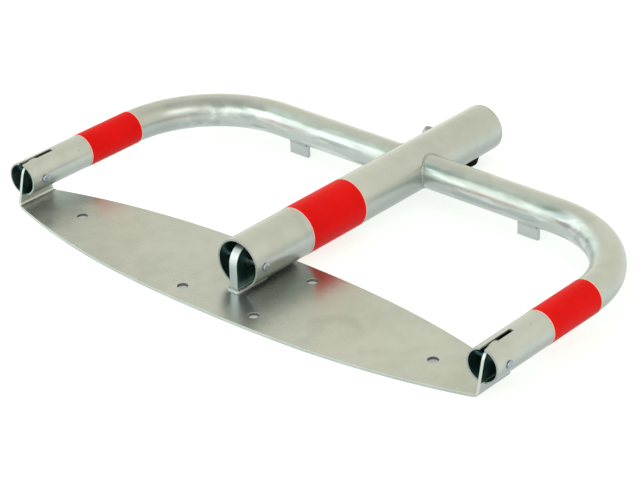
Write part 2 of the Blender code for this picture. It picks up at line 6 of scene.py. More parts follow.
import bmesh
import bpy
from mathutils import Matrix, Vector

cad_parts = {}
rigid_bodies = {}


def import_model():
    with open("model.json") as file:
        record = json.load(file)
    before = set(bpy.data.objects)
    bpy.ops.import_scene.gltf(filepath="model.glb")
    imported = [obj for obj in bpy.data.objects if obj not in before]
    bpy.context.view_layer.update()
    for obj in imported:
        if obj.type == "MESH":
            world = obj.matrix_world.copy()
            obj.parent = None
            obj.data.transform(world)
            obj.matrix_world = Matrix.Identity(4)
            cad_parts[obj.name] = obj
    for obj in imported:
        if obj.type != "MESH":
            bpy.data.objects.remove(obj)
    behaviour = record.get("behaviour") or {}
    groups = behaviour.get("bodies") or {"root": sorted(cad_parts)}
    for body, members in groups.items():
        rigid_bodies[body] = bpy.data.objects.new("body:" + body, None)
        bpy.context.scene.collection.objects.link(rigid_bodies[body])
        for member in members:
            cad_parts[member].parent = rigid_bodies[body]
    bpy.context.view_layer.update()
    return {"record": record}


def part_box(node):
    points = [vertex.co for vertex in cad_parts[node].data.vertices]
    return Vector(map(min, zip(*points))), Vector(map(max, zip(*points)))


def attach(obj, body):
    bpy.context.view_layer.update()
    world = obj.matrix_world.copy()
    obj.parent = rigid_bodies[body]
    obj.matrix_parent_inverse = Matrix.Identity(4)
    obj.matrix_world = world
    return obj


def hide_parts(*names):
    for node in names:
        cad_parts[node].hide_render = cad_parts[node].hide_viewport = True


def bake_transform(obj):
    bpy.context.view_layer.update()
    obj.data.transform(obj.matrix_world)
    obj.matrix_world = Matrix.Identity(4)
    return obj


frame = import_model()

# ---------------------------------------------------------------- places and sizes, from the frame


def centre_of(node):
    low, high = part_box(node)
    return (low + high) / 2


def size_of(node):
    low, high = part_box(node)
    return high - low


def opening(name):
    """Centre of an opening that the record states."""
    for stated in frame["record"]["physics"]["openings"]:
        if stated["name"] == name:
            low, high = (Vector(corner) for corner in stated["box_m"])
            return (low + high) / 2
    raise ValueError(f"no opening named {name}")


PIVOT_Z = centre_of("centre_pivot_pin").z
PLATE_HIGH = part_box("base_plate")[1]
EAR_OUT = PLATE_HIGH.x
EAR_TOP_R = PLATE_HIGH.z - PIVOT_Z
PLATE_HALF = PLATE_HIGH.y
LEG_X = centre_of("right_band").x
HOOP_LOW, HOOP_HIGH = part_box("right_hoop_tube")
HOOP_R = (HOOP_HIGH.z - HOOP_LOW.z) / 2
RAIL_Y = HOOP_HIGH.y - HOOP_R
LEG_FRONT = HOOP_LOW.y
TUBE_LOW, TUBE_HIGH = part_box("centre_tube")
TUBE_R = TUBE_HIGH.x
TUBE_FRONT = TUBE_LOW.y
LUG_LOW, LUG_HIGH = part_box("centre_lug")
LOCK_Y = centre_of("lock_cap").y

# Shape that the boxes don't give
PLATE_T = 0.004
PLATE_HALF_END = 0.028
PLATE_BOW = 2.4
SHEET_BEND_R = 0.008
ANCHOR_R = 0.0065
HOOP_BEND_R = 0.1375
WALL = 0.0026
EAR_SLOT_HALF, EAR_SLOT_BACK = 0.0028, 0.031
LUG_SLOT_HALF, LUG_SLOT_BACK = 0.013, 0.037
LUG_NOTCH_FLOOR, LUG_NOTCH_HALF = 0.015, 0.0065
PIN_R = 0.004
GAP = 0.0003
BEYOND = 0.01  # how far a cutter reaches past what it cuts
STROKE = 0.008  # of the locking rod
ROUND = math.pi * 2

scene_objects = bpy.context.scene.collection.objects

# ---------------------------------------------------------------- mesh tools

TURN_TO = {
    "X": Matrix.Rotation(math.pi / 2, 4, "Y"),
    "-X": Matrix.Rotation(-math.pi / 2, 4, "Y"),
    "Y": Matrix.Rotation(-math.pi / 2, 4, "X"),
    "Z": Matrix.Identity(4),
}


def mesh_object(name, bm, smooth=True):
    bmesh.ops.recalc_face_normals(bm, faces=bm.faces)
    mesh = bpy.data.meshes.new(name)
    bm.to_mesh(mesh)
    bm.free()
    if smooth:
        mesh.shade_smooth()
        mesh.set_sharp_from_angle(angle=math.radians(38))
    made = bpy.data.objects.new(name, mesh)
    scene_objects.link(made)
    return made


def arc(centre, radius, start, end, steps):
    """Points on an arc, angles in degrees, both ends included."""
    found = []
    for i in range(steps + 1):
        angle = math.radians(start + (end - start) * i / steps)
        found.append((centre[0] + radius * math.cos(angle), centre[1] + radius * math.sin(angle)))
    return found


def softened(points, radius, steps=4, closed=False):
    """An outline with its corners rounded, each over at most radius of its sides."""
    corners = [Vector(point) for point in points]
    count = len(corners)
    found = []
    for i, at in enumerate(corners):
        if not closed and i in (0, count - 1):
            found.append(tuple(at))
            continue
        before, after = corners[i - 1] - at, corners[(i + 1) % count] - at
        reach = min(radius, 0.45 * before.length, 0.45 * after.length)
        start, end = at + before.normalized() * reach, at + after.normalized() * reach
        for k in range(steps + 1):
            t = k / steps
            found.append(tuple(start * (1 - t) ** 2 + at * (2 * t * (1 - t)) + end * t**2))
    return found


def skin(bm, rows, along=False):
    """Joins closed rows of vertices by faces; a row of one vertex is a pole."""
    pairs = list(zip(rows, rows[1:]))
    if along:
        pairs.append((rows[-1], rows[0]))
    for one, two in pairs:
        count = max(len(one), len(two))
        for i in range(count):
            j = (i + 1) % count
            corners = [one[i % len(one)], one[j % len(one)], two[j % len(two)], two[i % len(two)]]
            bm.faces.new(list(dict.fromkeys(corners)))


def lathe(name, profile, axis, where, steps=72, closed=False):
    """A (radius, height) profile turned about an axis through where."""
    bm = bmesh.new()
    stand = Matrix.Translation(where) @ TURN_TO[axis]
    rows = []
    for radius, height in profile:
        if radius < 1e-6:
            rows.append([bm.verts.new(stand @ Vector((0, 0, height)))])
            continue
        row = []
        for i in range(steps):
            angle = ROUND * i / steps
            point = Vector((radius * math.cos(angle), radius * math.sin(angle), height))
            row.append(bm.verts.new(stand @ point))
        rows.append(row)
    skin(bm, rows, along=closed)
    return mesh_object(name, bm)


def prism(name, points, axis, span):
    """A flat outline, on the other two axes in XYZ order, drawn out along an axis."""
    index = "XYZ".index(axis)
    bm = bmesh.new()
    ends = []
    for level in span:
        row = []
        for point in points:
            corner = list(point)
            corner.insert(index, level)
            row.append(bm.verts.new(corner))
        ends.append(row)
    skin(bm, ends)
    bm.faces.new(ends[0])
    bm.faces.new(ends[1])
    return mesh_object(name, bm)


def block(name, low, high):
    """A plain box between two corners."""
    corners = [(low[0], low[1]), (high[0], low[1]), (high[0], high[1]), (low[0], high[1])]
    return prism(name, corners, "Z", (low[2], high[2]))


def rod(name, radius, span, axis, across, steps=48):
    """A plain cylinder along an axis, for cutting."""
    where = list(across)
    where.insert("XYZ".index(axis), 0)
    low, high = span
    return lathe(name, [(0, low), (radius, low), (radius, high), (0, high)], axis, where, steps)


def combine(target, tools, operation="DIFFERENCE"):
    """Cuts, joins or intersects with tools, which are then removed."""
    for tool in tools:
        step = target.modifiers.new(tool.name, "BOOLEAN")
        step.operation = operation
        step.object = tool
    settle(target)
    for tool in tools:
        bpy.data.objects.remove(tool)


def settle(made):
    """Turns an object's modifiers into its mesh."""
    bpy.context.view_layer.update()
    graph = bpy.context.evaluated_depsgraph_get()
    mesh = bpy.data.meshes.new_from_object(made.evaluated_get(graph))
    made.modifiers.clear()
    made.data = mesh


def round_edges(made, width, steps=3):
    """Rounds the sharp edges and keeps the faces beside them flat in the light."""
    bevel = made.modifiers.new("edges", "BEVEL")
    bevel.width = width
    bevel.segments = steps
    bevel.limit_method = "ANGLE"
    bevel.angle_limit = math.radians(40)
    bevel.use_clamp_overlap = False
    bevel.miter_outer = "MITER_ARC"
    weighted = made.modifiers.new("normals", "WEIGHTED_NORMAL")
    weighted.keep_sharp = True
    settle(made)
    return made


def flatten(made):
    """Sets the normals of the large flat faces, so that no tilt from a corner crosses them."""
    least = 0.0003  # square metres
    mesh = made.data
    normals = [corner.vector.copy() for corner in mesh.corner_normals]
    for face in mesh.polygons:
        if face.area > least:
            for i in face.loop_indices:
                normals[i] = face.normal.copy()
    mesh.normals_split_custom_set(normals)


def tube_along(name, centres, sides, radius, wall, last_x=None):
    """An open-ended tube that lies level along centres; last_x sets its last ring's X."""
    up = Vector((0, 0, 1))
    shells = []
    bm = bmesh.new()
    for shell_r in (radius, radius - wall):
        rows = []
        for i, centre in enumerate(centres):
            before, after = centres[max(i - 1, 0)], centres[min(i + 1, len(centres) - 1)]
            side = (after - before).normalized().cross(up)
            row = []
            for k in range(sides):
                angle = ROUND * k / sides
                point = centre + (side * math.cos(angle) + up * math.sin(angle)) * shell_r
                if last_x and i == len(centres) - 1:
                    point.x = last_x(point.z)
                row.append(bm.verts.new(point))
            rows.append(row)
        shells.append(rows)
    skin(bm, shells[0] + shells[1][::-1], along=True)
    return mesh_object(name, bm)


def sweep(name, path, outs, sides, closed, reach):
    """A skin along a path. reach(run, angle) is how far it goes along outs and to the side."""
    bm = bmesh.new()
    run = 0.0
    rows = []
    count = len(path)
    for i, point in enumerate(path):
        before = path[i - 1] if closed or i else point
        after = path[(i + 1) % count] if closed or i < count - 1 else point
        ahead = (after - before).normalized()
        out = (outs[i] - ahead * outs[i].dot(ahead)).normalized()
        side = ahead.cross(out)
        run += (point - path[i - 1]).length if i else 0
        row = []
        for k in range(sides):
            along_out, along_side = reach(run, ROUND * k / sides)
            row.append(bm.verts.new(point + out * along_out + side * along_side))
        rows.append(row)
    skin(bm, rows, along=closed)
    if not closed:
        bm.faces.new(rows[0])
        bm.faces.new(rows[-1])
    return mesh_object(name, bm)


def bead(name, path, outs, radius, pitch, closed, ripple):
    """A weld bead along a path. outs point away from the metal; its ripples curve like a puddle."""
    flat, curve, sides = 0.8, 0.28, 14

    def reach(run, angle):
        phase = ROUND * (run / pitch - curve * math.cos(angle))
        swell = radius * (1 + ripple * (math.cos(phase) + 0.6 * math.sin(3.1 * run / pitch)))
        return flat * swell * math.cos(angle), swell * math.sin(angle)

    return sweep(name, path, outs, sides, closed, reach)


def place(made, body, slot, look, *replaced):
    """Gives a piece its material, the nodes that it stands for, and its body if it has one; slot is
    not used.
    """
    made.data.materials.clear()
    made.data.materials.append(look)
    if body:
        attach(made, body)
    if replaced:
        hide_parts(*replaced)
    return made


# ---------------------------------------------------------------- material tools


class Shader:
    """A material's node tree, with short names for what is built in it."""

    def __init__(self, name):
        self.material = bpy.data.materials.new(name)
        self.material.use_nodes = True
        self.tree = self.material.node_tree
        self.main = self.tree.nodes["Principled BSDF"]
        self.coordinates = self.node("ShaderNodeTexCoord")
        self.place = self.coordinates.outputs["Object"]

    def node(self, kind, **settings):
        made = self.tree.nodes.new(kind)
        for key, value in settings.items():
            setattr(made, key, value)
        return made

    def feed(self, socket, value):
        if isinstance(value, bpy.types.NodeSocket):
            self.tree.links.new(value, socket)
        elif isinstance(value, tuple) and len(value) == 3 and len(socket.default_value) == 4:
            socket.default_value = (*value, 1)
        else:
            socket.default_value = value

    def math(self, operation, *values):
        made = self.node("ShaderNodeMath", operation=operation)
        for socket, value in zip(made.inputs, values):
            self.feed(socket, value)
        return made.outputs[0]

    def span(self, value, low, high, to_low, to_high):
        """Maps low..high smoothly to to_low..to_high, clamped."""
        made = self.node("ShaderNodeMapRange", interpolation_type="SMOOTHSTEP")
        for socket, given in zip(made.inputs, (value, low, high, to_low, to_high)):
            self.feed(socket, given)
        return made.outputs[0]

    def stretched(self, scale):
        made = self.node("ShaderNodeMapping")
        self.feed(made.inputs["Vector"], self.place)
        made.inputs["Scale"].default_value = scale
        return made.outputs[0]

    def noise(self, scale, detail, roughness=0.5, vector=None, distortion=0.0):
        made = self.node("ShaderNodeTexNoise")
        self.feed(made.inputs["Vector"], vector or self.place)
        keys = ("Scale", "Detail", "Roughness", "Distortion")
        for key, value in zip(keys, (scale, detail, roughness, distortion)):
            made.inputs[key].default_value = value
        return made.outputs["Fac"]

    def cells(self, scale, output="Color"):
        made = self.node("ShaderNodeTexVoronoi")
        self.feed(made.inputs["Vector"], self.place)
        made.inputs["Scale"].default_value = scale
        return made.outputs[output]

    def mix(self, share, one, two):
        made = self.node("ShaderNodeMix", data_type="RGBA")
        self.feed(made.inputs["Factor"], share)
        self.feed(made.inputs[6], one)
        self.feed(made.inputs[7], two)
        return made.outputs[2]

    def axis(self, name):
        split = self.node("ShaderNodeSeparateXYZ")
        self.feed(split.inputs[0], self.place)
        return split.outputs[name]

    def edges(self, low, high):
        """1 on outer edges and corners of a finely divided mesh, 0 on flat faces and in hollows."""
        return self.span(self.node("ShaderNodeNewGeometry").outputs["Pointiness"], low, high, 0, 1)

    def normal(self, name):
        """One part of the surface's direction, which stays with the piece when the piece moves."""
        split = self.node("ShaderNodeSeparateXYZ")
        self.feed(split.inputs[0], self.coordinates.outputs["Normal"])
        return split.outputs[name]

    def rounded(self):
        """1 where the surface turns from level to upright, 0 on level and upright faces."""
        slope = self.math("ABSOLUTE", self.normal("Z"))
        turning = self.math("MULTIPLY", slope, self.math("SUBTRACT", 1.0, slope))
        return self.span(turning, 0.05, 0.2, 0, 1)

    def squares(self, one, two):
        """The sum of two squares."""
        one = self.math("MULTIPLY", one, one)
        return self.math("ADD", one, self.math("MULTIPLY", two, two))

    def within(self, centre_x, radius, end_y):
        """1 inside a level tube along Y, short of end_y, and inside its twin at -centre_x."""
        across = self.math("SUBTRACT", self.math("ABSOLUTE", self.axis("X")), centre_x)
        rise = self.math("SUBTRACT", self.axis("Z"), PIVOT_Z)
        inside = self.math("LESS_THAN", self.squares(across, rise), radius * radius)
        return self.math("MULTIPLY", inside, self.math("LESS_THAN", self.axis("Y"), end_y))

    def spread(self):
        """0 in the middle of the base plate, and about 1 along its bowed edges and its ears."""
        across = self.math("DIVIDE", self.axis("X"), EAR_OUT)
        along = self.math("DIVIDE", self.axis("Y"), PLATE_HALF)
        return self.squares(across, along)

    def bump(self, height, distance, under=None):
        made = self.node("ShaderNodeBump")
        made.inputs["Distance"].default_value = distance
        self.feed(made.inputs["Height"], height)
        if under:
            self.feed(made.inputs["Normal"], under)
        return made.outputs[0]

    def set(self, **inputs):
        for key, value in inputs.items():
            self.feed(self.main.inputs[key.replace("_", " ")], value)
        return self.material


def tube_edges(s):
    return s.edges(0.54, 0.62)


def weld_edges(s):
    return s.edges(0.56, 0.66)


def galvanised(
    name,
    dark,
    light,
    dull,
    wear_and_highlight=Shader.rounded,
    specked=0.6,
    hollow=False,
    walled=False,
    bored=False,
):
    """Hot-dip zinc: softly cloudy, with a faint spangle, few dark specks, paler rounded edges that
    are part rubbed zinc and part painted highlight, and painted shade on faces that look sideways
    and down.

    hollow is for the tubes: it paints shade on their inner walls and on their forward-facing mouth
    rims, and paints pale and dark streaks along the rails' front faces. walled paints shade on the
    upright faces that the tubes enclose, and bored paints shade on the walls of the anchor holes.
    """
    s = Shader(name)
    cloud = s.noise(7, 4, 0.5, distortion=0.5)
    mottle = s.noise(45, 2, 0.5)
    tone = s.math("ADD", s.math("MULTIPLY", cloud, 0.65), s.math("MULTIPLY", mottle, 0.35))
    colour = s.mix(s.span(tone, 0.34, 0.66, 0, 1), dark, light)
    spangle = s.cells(110)
    colour = s.mix(s.span(spangle, 0, 1, 0, 0.05), colour, (0.66, 0.68, 0.68))
    specks = s.span(s.noise(170, 2, 0.5), 0.75, 0.78, 0, specked)
    smudges = s.span(s.noise(12, 2, 0.5, distortion=1.0), 0.58, 0.76, 0, 0.2)
    colour = s.mix(s.math("MAXIMUM", specks, smudges), colour, (0.24, 0.26, 0.24))
    # paler rounded edges: partly rubbed zinc, partly painted highlight
    colour = s.mix(s.math("MULTIPLY", wear_and_highlight(s), 0.28), colour, (0.68, 0.69, 0.68))
    # painted shade: faces that look sideways and down are darkened
    across = s.math("ABSOLUTE", s.normal("X"))
    beside = s.span(across, 0.45, 0.85, 0, 1)
    flank = s.math("MULTIPLY", beside, s.span(s.normal("Z"), -0.3, 0.2, 0.8, 0))
    colour = s.mix(flank, colour, tuple(0.78 * v for v in dark))
    rough = s.span(tone, 0.35, 0.65, dull - 0.05, dull + 0.05)
    rough = s.math("ADD", rough, s.math("MULTIPLY", specks, 0.25))
    if hollow:
        # pale and dark streaks, along the rails' front faces only
        front = s.span(s.normal("Y"), -0.8, -0.3, 1, 0)
        pale_front_streaks = s.noise(75, 2, 0.5, vector=s.stretched((0.22, 1, 1)))
        pale_front_streaks = s.span(pale_front_streaks, 0.48, 0.62, 0, 0.6)
        dark_front_streaks = s.noise(60, 2, 0.5, vector=s.stretched((0.2, 1.3, 1.3)))
        dark_front_streaks = s.span(dark_front_streaks, 0.52, 0.64, 0, 0.55)
        colour = s.mix(s.math("MULTIPLY", pale_front_streaks, front), colour, (0.66, 0.72, 0.72))
        colour = s.mix(s.math("MULTIPLY", dark_front_streaks, front), colour, (0.26, 0.32, 0.31))
        # painted shade: the forward-facing rims of the tube mouths are darkened
        ahead = s.span(s.normal("Y"), -0.85, -0.5, 0.5, 0)
        mouth_rim_shade = s.math("MULTIPLY", ahead, s.math("LESS_THAN", s.axis("Y"), 0.0))
        colour = s.mix(mouth_rim_shade, colour, (0.20, 0.22, 0.21))
    # painted shade on the upright walls of the anchor holes
    if bored:
        upright = s.span(s.math("ABSOLUTE", s.normal("Z")), 0.3, 0.8, 1, 0)
        holes = s.math("MULTIPLY", upright, s.math("LESS_THAN", s.spread(), 0.75))
        colour = s.mix(holes, colour, (0.21, 0.22, 0.205))
        rough = s.math("MAXIMUM", rough, s.math("MULTIPLY", holes, 0.55))
    # painted shade: a mottled dark teal inside the tubes, and with walled on the ear and lug faces
    # inside them
    if hollow or walled:
        depth = 0.85 * WALL
        middle = s.within(0.0, TUBE_R - depth, TUBE_HIGH.y - 0.001)
        legs = s.within(LEG_X, HOOP_R - depth, RAIL_Y - HOOP_BEND_R)
        inside = s.math("MAXIMUM", middle, legs)
        if walled:
            inside = s.math("MULTIPLY", inside, beside)
        inside_shade_mottle = s.span(mottle, 0.4, 0.65, 0, 1)
        colour = s.mix(inside, colour, s.mix(inside_shade_mottle, (0.045, 0.12, 0.11), (0.12, 0.23, 0.21)))
        rough = s.math("MAXIMUM", rough, s.math("MULTIPLY", inside, 0.42))
    grain = s.bump(s.noise(1200, 1, 0.5), 0.000001)
    peel = s.bump(s.noise(130, 1, 0.5), 0.00004, grain)
    flow = s.bump(s.noise(20, 1, 0.4), 0.0012 if hollow else 0.0004, peel)
    if hollow:
        rails = s.noise(70, 1, 0.4, vector=s.stretched((0.1, 1, 1)))
        rails = s.math("MULTIPLY", rails, s.math("MULTIPLY", front, 1.8))
        flanks = s.noise(70, 1, 0.4, vector=s.stretched((1, 0.1, 1)))
        flow = s.bump(s.math("ADD", rails, s.math("MULTIPLY", flanks, across)), 0.0006, flow)
    return s.set(Base_Color=colour, Roughness=rough, Metallic=0.92, Normal=flow)


def bright_zinc(name, turned_about):
    """Plated steel with the fine rings that turning leaves."""
    s = Shader(name)
    scale = {"X": (1, 0.05, 0.05), "Y": (0.05, 1, 0.05), "Z": (0.05, 0.05, 1)}[turned_about]
    rings = s.noise(2600, 2, 0.6, vector=s.stretched(scale))
    patina = s.noise(300, 4, 0.6)
    colour = s.mix(s.span(patina, 0.35, 0.7, 0, 1), (0.40, 0.46, 0.54), (0.28, 0.33, 0.39))
    colour = s.mix(s.math("MULTIPLY", s.edges(0.53, 0.62), 0.35), colour, (0.66, 0.69, 0.74))
    rough = s.span(patina, 0.3, 0.7, 0.20, 0.30)
    return s.set(Base_Color=colour, Roughness=rough, Metallic=1.0, Normal=s.bump(rings, 0.00004))


def plain_metal(name, dark, light, dull):
    """Machined metal with a cloudy film of oil."""
    s = Shader(name)
    film = s.noise(180, 5, 0.6)
    lines = s.noise(900, 2, 0.5, vector=s.stretched((1, 1, 0.08)))
    colour = s.mix(s.span(film, 0.35, 0.65, 0, 1), dark, light)
    worn = s.math("MULTIPLY", s.edges(0.52, 0.62), 0.5)
    colour = s.mix(worn, colour, tuple(min(1, 1.3 * v) for v in light))
    rough = s.span(film, 0.3, 0.7, dull - 0.07, dull + 0.08)
    return s.set(Base_Color=colour, Roughness=rough, Metallic=1.0, Normal=s.bump(lines, 0.00004))


def red_film(name, low_y, high_y):
    """Adhesive reflective film: beads under a clear skin, and a pale edge where it was cut."""
    s = Shader(name)
    beads = s.cells(1900, output="Distance")
    cloud = s.noise(30, 4, 0.6)
    red = s.mix(s.span(cloud, 0.3, 0.7, 0, 1), (0.60, 0.003, 0.003), (0.66, 0.005, 0.004))
    red = s.mix(s.span(s.cells(700), 0.2, 1.0, 0, 0.12), red, (0.50, 0.002, 0.003))
    # painted shade: faces of the band that look down are a darker red
    red = s.mix(s.span(s.normal("Z"), -0.5, 0.2, 0.5, 0), red, (0.42, 0.002, 0.002))
    y = s.axis("Y")
    edge = 0.0012
    near = s.math("SUBTRACT", 1.0, s.span(y, low_y + 0.85 * edge, low_y + 1.15 * edge, 0, 1))
    far = s.span(y, high_y - 1.15 * edge, high_y - 0.85 * edge, 0, 1)
    colour = s.mix(s.math("MAXIMUM", near, far), red, (0.66, 0.52, 0.44))
    wrinkle = s.bump(s.noise(60, 3, 0.5), 0.00012, s.bump(beads, 0.00002))
    rough = s.span(cloud, 0.3, 0.7, 0.40, 0.50)
    return s.set(Base_Color=colour, Roughness=rough, Specular_IOR_Level=0.05, Normal=wrinkle)


def rubber(name):
    """Black rubber with a fine grain and a little dust."""
    s = Shader(name)
    dust = s.span(s.noise(90, 6, 0.7), 0.52, 0.72, 0, 0.22)
    colour = s.mix(dust, (0.0015, 0.0015, 0.0015), (0.006, 0.006, 0.006))
    colour = s.mix(s.math("MULTIPLY", s.edges(0.52, 0.60), 0.25), colour, (0.02, 0.02, 0.02))
    grain = s.bump(s.noise(1400, 3, 0.6), 0.00006)
    rough = s.span(s.noise(240, 3, 0.5), 0.3, 0.7, 0.55, 0.72)
    return s.set(Base_Color=colour, Roughness=rough, Specular_IOR_Level=0.05, Normal=grain)


sheet_zinc = galvanised(
    "sheet_zinc",
    (0.415, 0.45, 0.425),
    (0.495, 0.53, 0.505),
    0.28,
    specked=0.0,
    walled=True,
    bored=True,
)
lug_zinc = galvanised("lug_zinc", (0.47, 0.51, 0.53), (0.55, 0.59, 0.61), 0.38, walled=True)
foot_zinc = galvanised("foot_zinc", (0.43, 0.455, 0.46), (0.49, 0.515, 0.52), 0.34)
tube_zinc = galvanised(
    "tube_zinc", (0.43, 0.465, 0.445), (0.51, 0.545, 0.525), 0.33, tube_edges, hollow=True
)
weld_zinc = galvanised("weld_zinc", (0.34, 0.36, 0.355), (0.43, 0.455, 0.45), 0.38, weld_edges)
knob_zinc = galvanised("knob_zinc", (0.27, 0.28, 0.255), (0.34, 0.35, 0.32), 0.45)
pin_zinc = bright_zinc("pin_zinc", "X")
rod_zinc = bright_zinc("rod_zinc", "Y")
upright_zinc = bright_zinc("upright_zinc", "Z")
brass = plain_metal("brass", (0.52, 0.36, 0.15), (0.66, 0.49, 0.22), 0.3)
spring_steel = plain_metal("spring_steel", (0.20, 0.21, 0.22), (0.34, 0.35, 0.37), 0.32)
bronze = plain_metal("bronze", (0.20, 0.16, 0.12), (0.32, 0.26, 0.20), 0.42)
black_rubber = rubber("black_rubber")

# ---------------------------------------------------------------- base


def plate_outline():
    """The bowed outline of the sheet, seen from above."""
    steps, bow = 90, PLATE_HALF - PLATE_HALF_END
    front = [(-EAR_OUT - PLATE_T, -PLATE_HALF_END)]
    for i in range(steps + 1):
        x = LEG_X * (2 * i / steps - 1)
        front.append((x, -PLATE_HALF + bow * (abs(x) / LEG_X) ** PLATE_BOW))
    front.append((EAR_OUT + PLATE_T, -PLATE_HALF_END))
    return front + [(x, -y) for x, y in reversed(front)]


def sheet_section():
    """Section of the sheet across its width, with both ears bent up."""
    corner = EAR_OUT - SHEET_BEND_R
    inner_r = SHEET_BEND_R - PLATE_T
    outer_steps, inner_steps = 16, 12
    top = PLATE_HIGH.z + EAR_TOP_R
    section = [(-EAR_OUT, top)]
    section += arc((-corner, SHEET_BEND_R), SHEET_BEND_R, 180, 270, outer_steps)
    section += arc((corner, SHEET_BEND_R), SHEET_BEND_R, 270, 360, outer_steps)
    section += [(EAR_OUT, top), (EAR_OUT - PLATE_T, top)]
    section += arc((corner, SHEET_BEND_R), inner_r, 360, 270, inner_steps)
    section += arc((-corner, SHEET_BEND_R), inner_r, 270, 180, inner_steps)
    section.append((-EAR_OUT + PLATE_T, top))
    return section


def ear_outline():
    """Side view: wide at the sheet, then the ear's straight sides up to its round top."""
    shelf = PLATE_T + 0.0005
    rise = PIVOT_Z - shelf
    reach = math.hypot(PLATE_HALF_END, rise)
    touch = math.degrees(math.atan2(-rise, PLATE_HALF_END) + math.acos(EAR_TOP_R / reach))
    wide = PLATE_HALF + PLATE_T
    low = [(-PLATE_HALF_END, shelf), (-wide, shelf), (-wide, -PLATE_T)]
    low += [(-y, z) for y, z in reversed(low)]
    return low + arc((0, PIVOT_Z), EAR_TOP_R, touch, 180 - touch, 48)


def make_plate():
    """Bowed sheet with both ends bent up into ears, and six anchor holes."""
    deep, high, wide = 0.09, 0.09, 0.37  # past the sheet on every side
    plate = prism("plate_sheet", sheet_section(), "Y", (-deep, deep))
    lens = prism("lens", plate_outline(), "Z", (-BEYOND, high))
    ears = prism("ears", ear_outline(), "X", (-wide, wide))
    combine(plate, [lens, ears], "INTERSECT")
    drills = []
    for spot in ("left", "right", "front_left", "front_right", "rear_left", "rear_right"):
        where = opening(f"anchor_hole_{spot}").xy
        drills.append(rod(f"drill_{spot}", ANCHOR_R, (-BEYOND, 2 * BEYOND), "Z", where))
    combine(plate, drills)
    round_edges(plate, 0.0005)
    flatten(plate)
    place(plate, "base", "galvanised_steel", sheet_zinc, "base_plate")


def make_lug():
    """Upright with a bore for the pin's bush, and notches for the rod at its rear and its top."""
    foot = LUG_LOW.z
    half = LUG_HIGH.y
    shape = [(-half, foot), (half, foot)] + arc((0, PIVOT_Z), half, 0, 180, 36)
    lug = prism("lug_plate", shape, "X", (LUG_LOW.x, LUG_HIGH.x))
    floor, beyond, notch = LUG_NOTCH_FLOOR, half + 0.004, LUG_NOTCH_HALF
    wide = 2 * LUG_HIGH.x
    rear = block("rear_notch", (-wide, floor, PIVOT_Z - notch), (wide, beyond, PIVOT_Z + notch))
    top = block("top_notch", (-wide, -notch, PIVOT_Z + floor), (wide, notch, PIVOT_Z + beyond))
    bore = rod("lug_bore", size_of("lug_bush").y / 2 + GAP, (-wide, wide), "X", (0, PIVOT_Z))
    combine(lug, [rear, top, bore])
    round_edges(lug, 0.0008)
    flatten(lug)
    place(lug, "base", "galvanised_steel", lug_zinc, "centre_lug")


def make_lug_weld():
    """Bead round the lug's foot."""
    away, corner, step = 0.0008, 0.002, 0.0006
    half_x, half_y = LUG_HIGH.x + away, LUG_HIGH.y + away
    low = PLATE_T + 0.0006
    outline = []
    for sign_x, sign_y, start in ((1, 1, 0), (-1, 1, 90), (-1, -1, 180), (1, -1, 270)):
        centre = (sign_x * (half_x - corner), sign_y * (half_y - corner))
        outline += arc(centre, corner, start, start + 90, 6)
    path, outs = [], []
    for i, (x, y) in enumerate(outline):
        nx, ny = outline[(i + 1) % len(outline)]
        run = math.hypot(nx - x, ny - y)
        count = max(1, round(run / step))
        for k in range(count):
            point = Vector((x + (nx - x) * k / count, y + (ny - y) * k / count, low))
            path.append(point)
            outs.append(Vector((ny - y, x - nx, 0)).normalized() + Vector((0, 0, 1)))
    made = bead("lug_fillet", path, outs, radius=0.0032, pitch=0.0032, closed=True, ripple=0.07)
    place(made, "base", "galvanised_steel", weld_zinc, "lug_weld")


# ---------------------------------------------------------------- hoop


def closer(share):
    """Moves the steps along a tube towards its mouth, where the edges need a fine mesh."""
    return share**1.6


def hoop_centres(side):
    """Middle line of a bent tube, from its mouth to the middle tube."""
    corner = (LEG_X - HOOP_BEND_R, RAIL_Y - HOOP_BEND_R)
    leg_steps, bend_steps, rail_steps = 40, 64, 20
    ahead, across = corner[1] - LEG_FRONT, TUBE_R - corner[0]
    leg = [(LEG_X, LEG_FRONT + ahead * closer(i / leg_steps)) for i in range(leg_steps)]
    bend = arc(corner, HOOP_BEND_R, 0, 90, bend_steps)
    rail = [(corner[0] + across * (i + 1) / rail_steps, RAIL_Y) for i in range(rail_steps)]
    return [Vector((side * x, y, PIVOT_Z)) for x, y in leg + bend + rail]


def saddle(side):
    """The X of the middle tube's surface at a height, a little inside it."""
    return lambda z: side * math.sqrt((TUBE_R - GAP) ** 2 - (z - PIVOT_Z) ** 2)


def make_hoop_tube(side, label):
    """Bent tube, slotted at its mouth for the ear."""
    made = tube_along(f"{label}_hoop", hoop_centres(side), 72, HOOP_R, WALL, saddle(side))
    x = side * LEG_X
    low = (x - EAR_SLOT_HALF, LEG_FRONT - BEYOND, PIVOT_Z - 2 * HOOP_R)
    high = (x + EAR_SLOT_HALF, EAR_SLOT_BACK, PIVOT_Z + 2 * HOOP_R)
    combine(made, [block("slot", low, high)])
    round_edges(made, 0.0004)
    place(made, "bar", "galvanised_steel", tube_zinc, f"{label}_hoop_tube")


def make_hoop_weld(side, label):
    """Bead where the bent tube meets the middle tube."""
    path, outs = [], []
    steps = 240
    for i in range(steps):
        angle = ROUND * i / steps
        across, up = HOOP_R * math.cos(angle), HOOP_R * math.sin(angle)
        reach = math.sqrt(TUBE_R**2 - up**2)
        path.append(Vector((side * reach, RAIL_Y + across, PIVOT_Z + up)))
        from_rail = Vector((0, across, up)).normalized()
        from_tube = Vector((side * reach, 0, up)).normalized()
        outs.append(from_rail + from_tube)
    name = f"{label}_saddle_weld"
    made = bead(name, path, outs, radius=0.0016, pitch=0.003, closed=True, ripple=0.04)
    place(made, "bar", "galvanised_steel", weld_zinc, f"{label}_hoop_weld")


